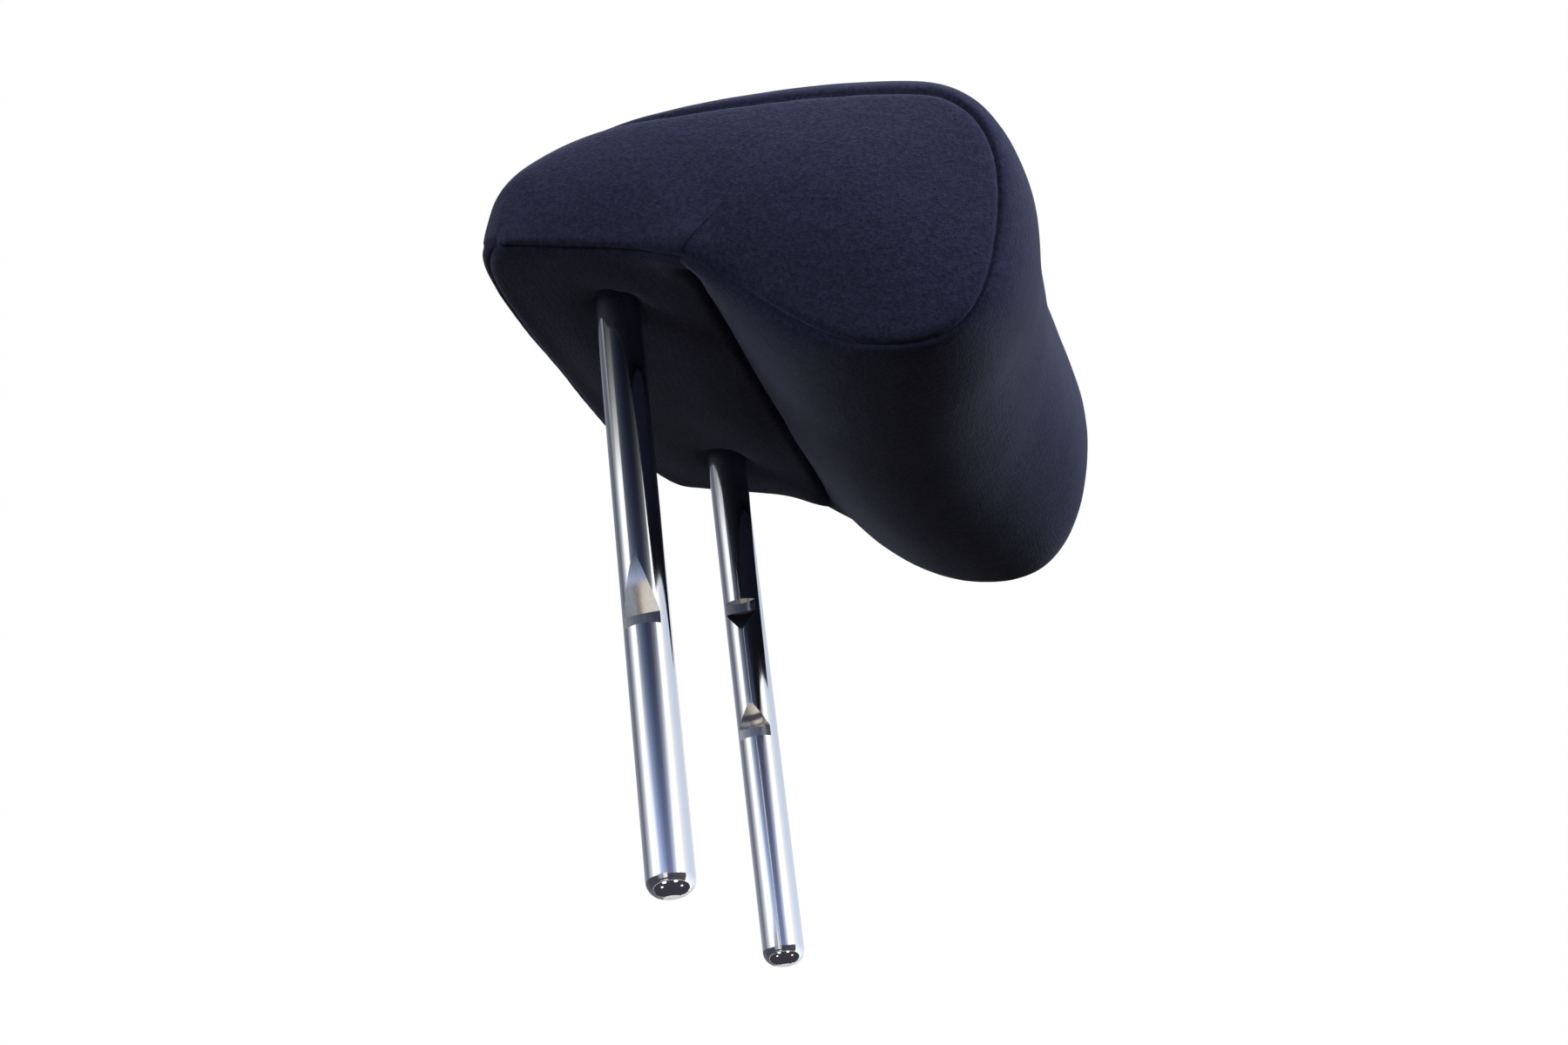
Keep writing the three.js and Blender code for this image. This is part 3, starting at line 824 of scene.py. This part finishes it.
def half_bar():
    """Hoops of the left half, from its tip to the middle of the crossbar."""
    left = np.array([-1.0, 0, 0])
    ahead = np.array([0, -math.cos(lean), -math.sin(lean)])
    level_down = np.array([0, math.sin(lean), -math.cos(lean)])
    plane = (bend_radius * (1 + math.sin(lean)) * math.sin(lean)
             + (bend_start + bend_radius * math.cos(lean)) * math.cos(lean))
    front = np.array([0, -1.0, 0])
    dome = post_radius - tip_flat
    hoops = []
    for angle in quarter_turns(tip_steps):
        size = tip_flat + dome * math.sin(angle)
        rise = dome * (1 - math.cos(angle))
        hoops.append(hoop(np.array([-post_offset, 0, tip_height + rise]), left, front, size))
    straight = np.linspace(tip_height + dome, bend_start, post_steps, endpoint=False)
    for height in (straight[0] + support_gap, *straight[1:]):
        hoops.append(hoop(np.array([-post_offset, 0, height]), left, front, post_radius))
    for k in range(bend_steps + 1):
        angle = (math.pi / 2 + lean) * k / bend_steps
        centre = np.array([-post_offset, -bend_radius * (1 - math.cos(angle)),
                           bend_start + bend_radius * math.sin(angle)])
        outward = np.array([0, -math.cos(angle), -math.sin(angle)])
        hoops.append(hoop(centre, left, outward, post_radius))
    corner = ahead * (crossbar_reach - bend_radius) - level_down * plane
    for angle in quarter_turns(bend_steps):
        centre = (corner + left * (post_offset - bend_radius * (1 - math.cos(angle)))
                  + ahead * bend_radius * math.sin(angle))
        outward = left * math.cos(angle) + ahead * math.sin(angle)
        hoops.append(hoop(centre, outward, level_down, post_radius))
    return hoops


# %% Sweep the bar
def tube_mesh(name, hoops):
    sides = len(hoops[0])
    faces = [tuple(range(sides))]
    for i in range(len(hoops) - 1):
        here, there = i * sides, (i + 1) * sides
        for j in range(sides):
            k = (j + 1) % sides
            faces.append((here + j, there + j, there + k, here + k))
    faces.append(tuple(reversed(range((len(hoops) - 1) * sides, len(hoops) * sides))))
    mesh = bpy.data.meshes.new(name)
    mesh.from_pydata((np.vstack(hoops) * MM).tolist(), [], faces)
    whole = bmesh.new()
    whole.from_mesh(mesh)
    bmesh.ops.recalc_face_normals(whole, faces=whole.faces)
    whole.to_mesh(mesh)
    whole.free()
    return mesh


left_half = half_bar()
right_half = [one_hoop * np.array([-1, 1, 1]) for one_hoop in reversed(left_half)]
bar = bpy.data.objects.new("posts", tube_mesh("posts", left_half + right_half))
scene.collection.objects.link(bar)
print("bar faces:", len(bar.data.polygons))

# %% [markdown]
# ## Chrome
# Plating is a mirror with a faint wear: rubbed streaks along the post from sliding in the guides,
# and a haze of fingermarks. The roughness varies with both. The notches get a finish of their own,
# a darker, warmer metal than the chrome: painted shade of their recesses, with cutter marks that
# vary its tone.

# %% Chrome, and the notches' metal with painted shade
haze_size, streak_size, cutter_size = 9 * MM, 0.5 * MM, 0.35 * MM
scratch_height = 0.01 * MM
chrome, tree, shader = finish("chrome", (0.8, 0.81, 0.83), 0.05, metallic=1)
haze = grain(tree, place(tree), haze_size, detail=4)
streaks = grain(tree, place(tree, (1, 1, 0.02)), streak_size, detail=3)
wear = mix(tree, 0.5, haze, streaks)
tree.links.new(ramp(tree, wear, [(0.35, grey(0.06)), (0.75, grey(0.12))]),
               shader.inputs["Roughness"])
tree.links.new(bump(tree, streaks, 0.06, scratch_height), shader.inputs["Normal"])

# The notch metal is darker and warmer than the chrome: painted shade of the notch recesses.
notch_shaded, tree, shader = finish("notch_metal_painted_shade", (0.6, 0.58, 0.55), 0.12, metallic=1)
cutter_marks = grain(tree, place(tree, (1, 1, 0.15)), cutter_size, detail=3)
tree.links.new(ramp(tree, cutter_marks, [(0.3, grey(0.09)), (0.7, grey(0.14))]),
               shader.inputs["Roughness"])
tree.links.new(ramp(tree, cutter_marks, [(0.3, (0.55, 0.53, 0.5)), (0.7, (0.66, 0.64, 0.61))]),
               shader.inputs["Base Color"])
tree.links.new(bump(tree, cutter_marks, 0.08, scratch_height), shader.inputs["Normal"])
bar.data.materials.append(chrome)
bar.data.materials.append(notch_shaded)
print("finishes so far:", [material.name for material in bpy.data.materials if material.users])

# %% [markdown]
# ## Notches
# The seat's catch drops into notches in the left face of each post: a flat shoulder that
# it rests against, a short floor, and a ramp that lifts it out again. The ramp sinks
# slowly at first and then faster, so that seen from the side it widens like an arrowhead.
# Each is cut with a solid wedge whose floor is very slightly crowned, because a dead flat
# one would mirror a single spot and look like paper.

# %% The tool for a notch
notch_depth = 2.3
floor_crown = 0.35
ramp_steps = 16
ramp_sweep = 1.8
run_out = 0.005
rows_across = 33
clear_of_post = 1
left_stop = {"floor": 3.2, "ramp": 18}
right_stop = {"floor": 3.2, "ramp": 8.7}
right_lock = {"floor": 3.6, "ramp": 7}


def wedge(side, shoulder, shape, way):
    """The tool for one notch, its ramp above the shoulder for way 1, below it for way -1."""
    outside = post_radius + clear_of_post
    depth = post_radius - notch_depth
    half_chord = math.sqrt(post_radius ** 2 - depth ** 2)
    hoops = []
    for y in np.linspace(-post_radius, post_radius, rows_across):
        crown = floor_crown * (1 - (y / half_chord) ** 2)
        profile = [(outside, 0), (depth + crown, 0)]
        for share in np.linspace(0, 1, ramp_steps):
            lift = notch_depth * (1 - (1 - share) ** ramp_sweep + run_out * share)
            past = shape["floor"] + share * shape["ramp"]
            profile.append((depth + crown * (1 - share) + lift, past))
        profile.append((outside, shape["floor"] + shape["ramp"]))
        hoops.append(np.array([
            (side * post_offset - x, y, shoulder + way * z) for x, z in profile]))
    tool = bpy.data.objects.new("notch_tool", tube_mesh("notch_tool", hoops))
    tool.data.materials.append(notch_shaded)
    scene.collection.objects.link(tool)
    return tool


# %% Cut the notches
sharp_angle = 9


def cut_away(piece, tools):
    """Subtracts the tools from the piece and keeps the plain mesh that is left."""
    for tool in tools:
        cut = piece.modifiers.new("cut", "BOOLEAN")
        cut.operation, cut.solver = "DIFFERENCE", "EXACT"
        cut.object, cut.material_mode = tool, "TRANSFER"
    left = evaluated_mesh(piece)
    piece.modifiers.clear()
    piece.data = left
    for tool in tools:
        bpy.data.objects.remove(tool)


def shoulder_of(name):
    return mounts[name]["pos_m"][2] / MM


cut_away(bar, [
    wedge(-1, shoulder_of("left_stop_shoulder"), left_stop, 1),
    wedge(1, shoulder_of("right_stop_shoulder"), right_stop, 1),
    wedge(1, shoulder_of("right_lock_shoulder"), right_lock, -1),
])
for polygon in bar.data.polygons:
    polygon.use_smooth = True
bar.data.set_sharp_from_angle(angle=math.radians(sharp_angle))
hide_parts("stay_bar")
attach(bar, "root")
print("bar faces after cutting:", len(bar.data.polygons))

# %% [markdown]
# ## The pieces inside
# The core shells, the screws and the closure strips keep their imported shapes, which are
# right. They are hidden in the cushion, but a library part is also seen cut open, so each
# gets the finish that it has: moulded black plastic with a fine grain, and zinc plating.

# %% Finishes inside
pebble_size, cloud_size, spangle_size = 0.5 * MM, 12 * MM, 0.6 * MM
pebble_height = 0.05 * MM
plastic, tree, shader = finish("black_plastic", (0.02, 0.02, 0.022), 0.6)
pebble = grain(tree, place(tree), pebble_size, detail=3)
clouds = grain(tree, place(tree), cloud_size)
tree.links.new(ramp(tree, clouds, [(0.3, (0.016, 0.016, 0.018)), (0.7, (0.026, 0.026, 0.028))]),
               shader.inputs["Base Color"])
tree.links.new(ramp(tree, pebble, [(0.3, grey(0.5)), (0.7, grey(0.7))]),
               shader.inputs["Roughness"])
tree.links.new(bump(tree, pebble, 0.3, pebble_height), shader.inputs["Normal"])

zinc, tree, shader = finish("zinc_steel", (0.42, 0.43, 0.44), 0.35, metallic=1)
spangle = grain(tree, place(tree), spangle_size, detail=2)
tree.links.new(ramp(tree, spangle, [(0.3, (0.36, 0.37, 0.38)), (0.7, (0.5, 0.5, 0.49))]),
               shader.inputs["Base Color"])
tree.links.new(ramp(tree, spangle, [(0.3, grey(0.28)), (0.7, grey(0.42))]),
               shader.inputs["Roughness"])

slot_finishes = {"plastic": plastic, "screw_steel": zinc}
dressed = 0
for subpart in frame["record"]["subparts"]:
    if subpart["material_slot"] in slot_finishes:
        for slot in frame["nodes"][subpart["node"]].material_slots:
            slot.material = slot_finishes[subpart["material_slot"]]
        dressed += 1
print("inner nodes dressed:", dressed)

# %% [markdown]
# ## The room
# The photograph shows the headrest held up against plain white, lit softly from the front
# and from behind, with little light from below. The floor lies well under the posts, so
# that the camera can look up. To the camera and to mirrors it is pale and glows a little.
# To the light that bounces it is dark, which keeps the cushion's underside dark too.

# %% Floor and world
def seen_directly(tree):
    """1 for rays from the camera, from mirrors and through glass, 0 for bounced light."""
    path = node(tree, "ShaderNodeLightPath")
    seen = maths(tree, "MAXIMUM", path.outputs["Is Camera Ray"], path.outputs["Is Glossy Ray"])
    return maths(tree, "MAXIMUM", seen, path.outputs["Is Transmission Ray"])


floor_height = -0.75
half_floor = 15.0
floor_glow = 0.48
bounce_colour, pale_colour = (0.06, 0.052, 0.044, 1), (0.9, 0.9, 0.9, 1)
corners = [(x * half_floor, y * half_floor, floor_height)
           for x, y in ((-1, -1), (1, -1), (1, 1), (-1, 1))]
floor = bpy.data.objects.new("floor", bpy.data.meshes.new("floor"))
floor.data.from_pydata(corners, [], [(0, 1, 2, 3)])
scene.collection.objects.link(floor)

floor_paint, tree, shader = finish("pale_floor", (0.8, 0.8, 0.8), 0.9, specular=0.1)
seen = seen_directly(tree)
tree.links.new(mix(tree, seen, bounce_colour, pale_colour), shader.inputs["Base Color"])
shader.inputs["Emission Color"].default_value = (1, 1, 1, 1)
tree.links.new(maths(tree, "MULTIPLY", seen, floor_glow), shader.inputs["Emission Strength"])
floor.data.materials.append(floor_paint)

ambient = (0.11, 0.095, 0.075)
world = bpy.data.worlds.new("white_room")
world.use_nodes = True
scene.world = world
tree = world.node_tree
sky = tree.nodes["Background"]
tree.links.new(mix(tree, seen_directly(tree), (*ambient, 1), (1, 1, 1, 1)), sky.inputs["Color"])
print("ambient light", ambient)

# %% [markdown]
# ## Lamps and cards
# Three large soft boxes light the cloth: one behind and one in front on the left, and one
# above. Chrome is only as good as what it mirrors, and a lamp is far brighter than white
# paper, so mirrors don't see the boxes. They see cards that stand round the object and
# that nothing else sees. Two glowing ones in front of the boxes make the white bars along
# each post, with a dark blue one between them, a grey one behind the headrest and a pale
# one in front of it.

# %% Soft boxes
def direction(azimuth, elevation):
    """A level angle from +X towards +Y, and a height above the horizon, in degrees."""
    a, e = math.radians(azimuth), math.radians(elevation)
    return Vector((math.cos(a) * math.cos(e), math.sin(a) * math.cos(e), math.sin(e)))


def soft_box(name, azimuth, elevation, distance, width, height, power, colour):
    light = bpy.data.lights.new(name, "AREA")
    light.shape, light.size, light.size_y = "RECTANGLE", width, height
    light.energy, light.color = power, colour
    lamp = bpy.data.objects.new(name, light)
    lamp.location = direction(azimuth, elevation) * distance
    lamp.rotation_euler = (-lamp.location).to_track_quat("-Z", "Y").to_euler()
    scene.collection.objects.link(lamp)
    return lamp


rear_box = soft_box("rear_box", 131, 15, 1.6, 0.95, 0.95, 11.5, (0.93, 0.96, 1.0))
front_box = soft_box("front_box", 255, 15, 1.6, 0.9, 0.95, 21, (0.93, 0.96, 1.0))
top_box = soft_box("top_box", 230, 62, 1.8, 1.4, 1.4, 26, (0.95, 0.97, 1.0))
for lamp in (rear_box, front_box, top_box):
    lamp.visible_glossy = False
print("lamps:", rear_box.name, front_box.name, top_box.name)

# %% Cards for the mirrors
card_steps, disc_steps = 25, 24
sheets = []


def mirrored(name, points, faces):
    """A sheet that only mirrors see, and the tree and emission of its light."""
    made = bpy.data.objects.new(name, bpy.data.meshes.new(name))
    made.data.from_pydata(points, [], faces)
    material = bpy.data.materials.new(name)
    material.use_nodes = True
    tree = material.node_tree
    tree.nodes.remove(tree.nodes["Principled BSDF"])
    glow = node(tree, "ShaderNodeEmission")
    tree.links.new(glow.outputs[0], tree.nodes["Material Output"].inputs["Surface"])
    made.data.materials.append(material)
    made.visible_camera = made.visible_diffuse = made.visible_shadow = False
    made.visible_transmission = made.visible_volume_scatter = False
    scene.collection.objects.link(made)
    sheets.append(name)
    return made, tree, glow


def card(name, start, end, low, high, distance, stops, fade=0.0, full_at=0.255, most=2.5):
    """A curved card between two level angles, its light falling with height at the rate fade."""
    angles = np.radians(np.linspace(start, end, card_steps))
    points = [(distance * math.cos(a), distance * math.sin(a), z)
              for z in (low, high) for a in angles]
    faces = [(i, i + 1, card_steps + i + 1, card_steps + i) for i in range(card_steps - 1)]
    made, tree, glow = mirrored(name, points, faces)
    uv = made.data.uv_layers.new(name="across")
    for loop in made.data.loops:
        share = (loop.vertex_index % card_steps) / (card_steps - 1)
        uv.data[loop.index].uv = (share, points[loop.vertex_index][2])
    where = node(tree, "ShaderNodeUVMap", uv_map="across").outputs["UV"]
    spot = node(tree, "ShaderNodeSeparateXYZ", {"Vector": where})
    shares = [((azimuth - start) / (end - start), colour) for azimuth, colour in stops]
    tree.links.new(ramp(tree, spot.outputs["X"], shares), glow.inputs["Color"])
    strength = maths(tree, "POWER", math.exp(-fade), spot.outputs["Y"])
    strength = maths(tree, "MULTIPLY", strength, math.exp(fade * full_at))
    tree.links.new(maths(tree, "MINIMUM", strength, most), glow.inputs["Strength"])


def disc(name, azimuth, distance, height, radius, colour):
    """A round card that lies under the posts, for the mirrors in their tips."""
    turns = np.linspace(0, 2 * math.pi, disc_steps, endpoint=False)
    middle = direction(azimuth, 0) * distance
    points = [(middle.x + radius * math.cos(a), middle.y + radius * math.sin(a), height)
              for a in turns]
    _, _, glow = mirrored(name, points, [tuple(range(len(points)))])
    glow.inputs["Color"].default_value = (*colour, 1)


# %% Cards round the object
card("dark_card", 141, 237, -0.1, 3.0, 1.2, [
    (141, (1.0, 1.03, 1.06)), (148, (0.62, 0.68, 0.8)), (160, (0.26, 0.32, 0.48)),
    (177, (0.12, 0.155, 0.265)), (192, (0.075, 0.09, 0.16)), (207, (0.097, 0.107, 0.175)),
    (223, (0.32, 0.35, 0.42)), (237, (0.95, 0.97, 1.0)),
], fade=6.5)
card("rear_glow", 104, 143, -0.1, 3.0, 1.19, [
    (104, (0.55, 0.58, 0.62)), (112, (0.8, 0.83, 0.87)), (120, grey(1.3)), (137, grey(1.3)),
    (143, (0.9, 0.93, 0.97)),
], fade=16.0, full_at=0.52, most=1.0)
card("front_glow", 237, 268, -0.1, 3.0, 1.2, [
    (237, grey(1.0)), (242, grey(1.3)), (260, grey(1.3)), (268, grey(1.0)),
])
card("grey_card", 20, 104, -0.72, 3.0, 1.3, [
    (20, (0.5, 0.53, 0.6)), (55, (0.28, 0.29, 0.35)), (84, (0.15, 0.16, 0.2)),
    (104, (0.5, 0.53, 0.58)),
], fade=0.8)
card("pale_card", 268, 345, -0.72, 3.0, 1.2, [
    (268, grey(1.0)), (280, (0.82, 0.87, 0.98)), (298, (0.7, 0.78, 0.95)),
    (345, (0.72, 0.76, 0.82)),
], fade=0.5)
print("cards round the object:", sheets)

# %% [markdown]
# ## What the mirrors see below
# A notch's ramp faces partly down, and so does a domed tip. A dark skirt stands most of
# the way round, below the cushion, with two pale windows in front of it for the notches.
# A dark mat lies under the posts, with two bright spots and two glints on it for the tips.

# %% Cards below, for the notches and the tips
card("skirt", 20, 268, -0.73, 0.04, 1.15, [
    (20, (0.2, 0.2, 0.22)), (90, (0.07, 0.07, 0.09)), (190, (0.06, 0.06, 0.09)),
    (268, (0.1, 0.09, 0.1)),
])
window_stops = [
    (145, (0.25, 0.28, 0.36)), (161, (0.4, 0.44, 0.54)), (164, (0.22, 0.16, 0.12)),
    (168, (1.0, 0.95, 0.88)), (184, grey(1.0)),
]
card("low_window", 145, 184, -0.3, 0.085, 1.1, window_stops)
card("floor_window", 145, 184, -0.62, -0.5, 1.1, window_stops)
mat_height, spot_height = -0.73, -0.72
disc("dark_mat", 0, 0, mat_height, 1.1, (0.05, 0.045, 0.06))
disc("rear_spot", 163, 0.85, spot_height, 0.15, grey(4))
disc("front_spot", 221, 0.85, spot_height, 0.15, grey(4))
disc("rear_glint", 133, 0.45, spot_height, 0.06, grey(3))
disc("front_glint", 270, 0.45, spot_height, 0.06, grey(3))
print("all cards:", sheets)

# %% [markdown]
# ## Last words
# The picture is shown without a film look, so a colour comes out as it is written.

# %% Finish
scene.view_settings.view_transform = "Standard"
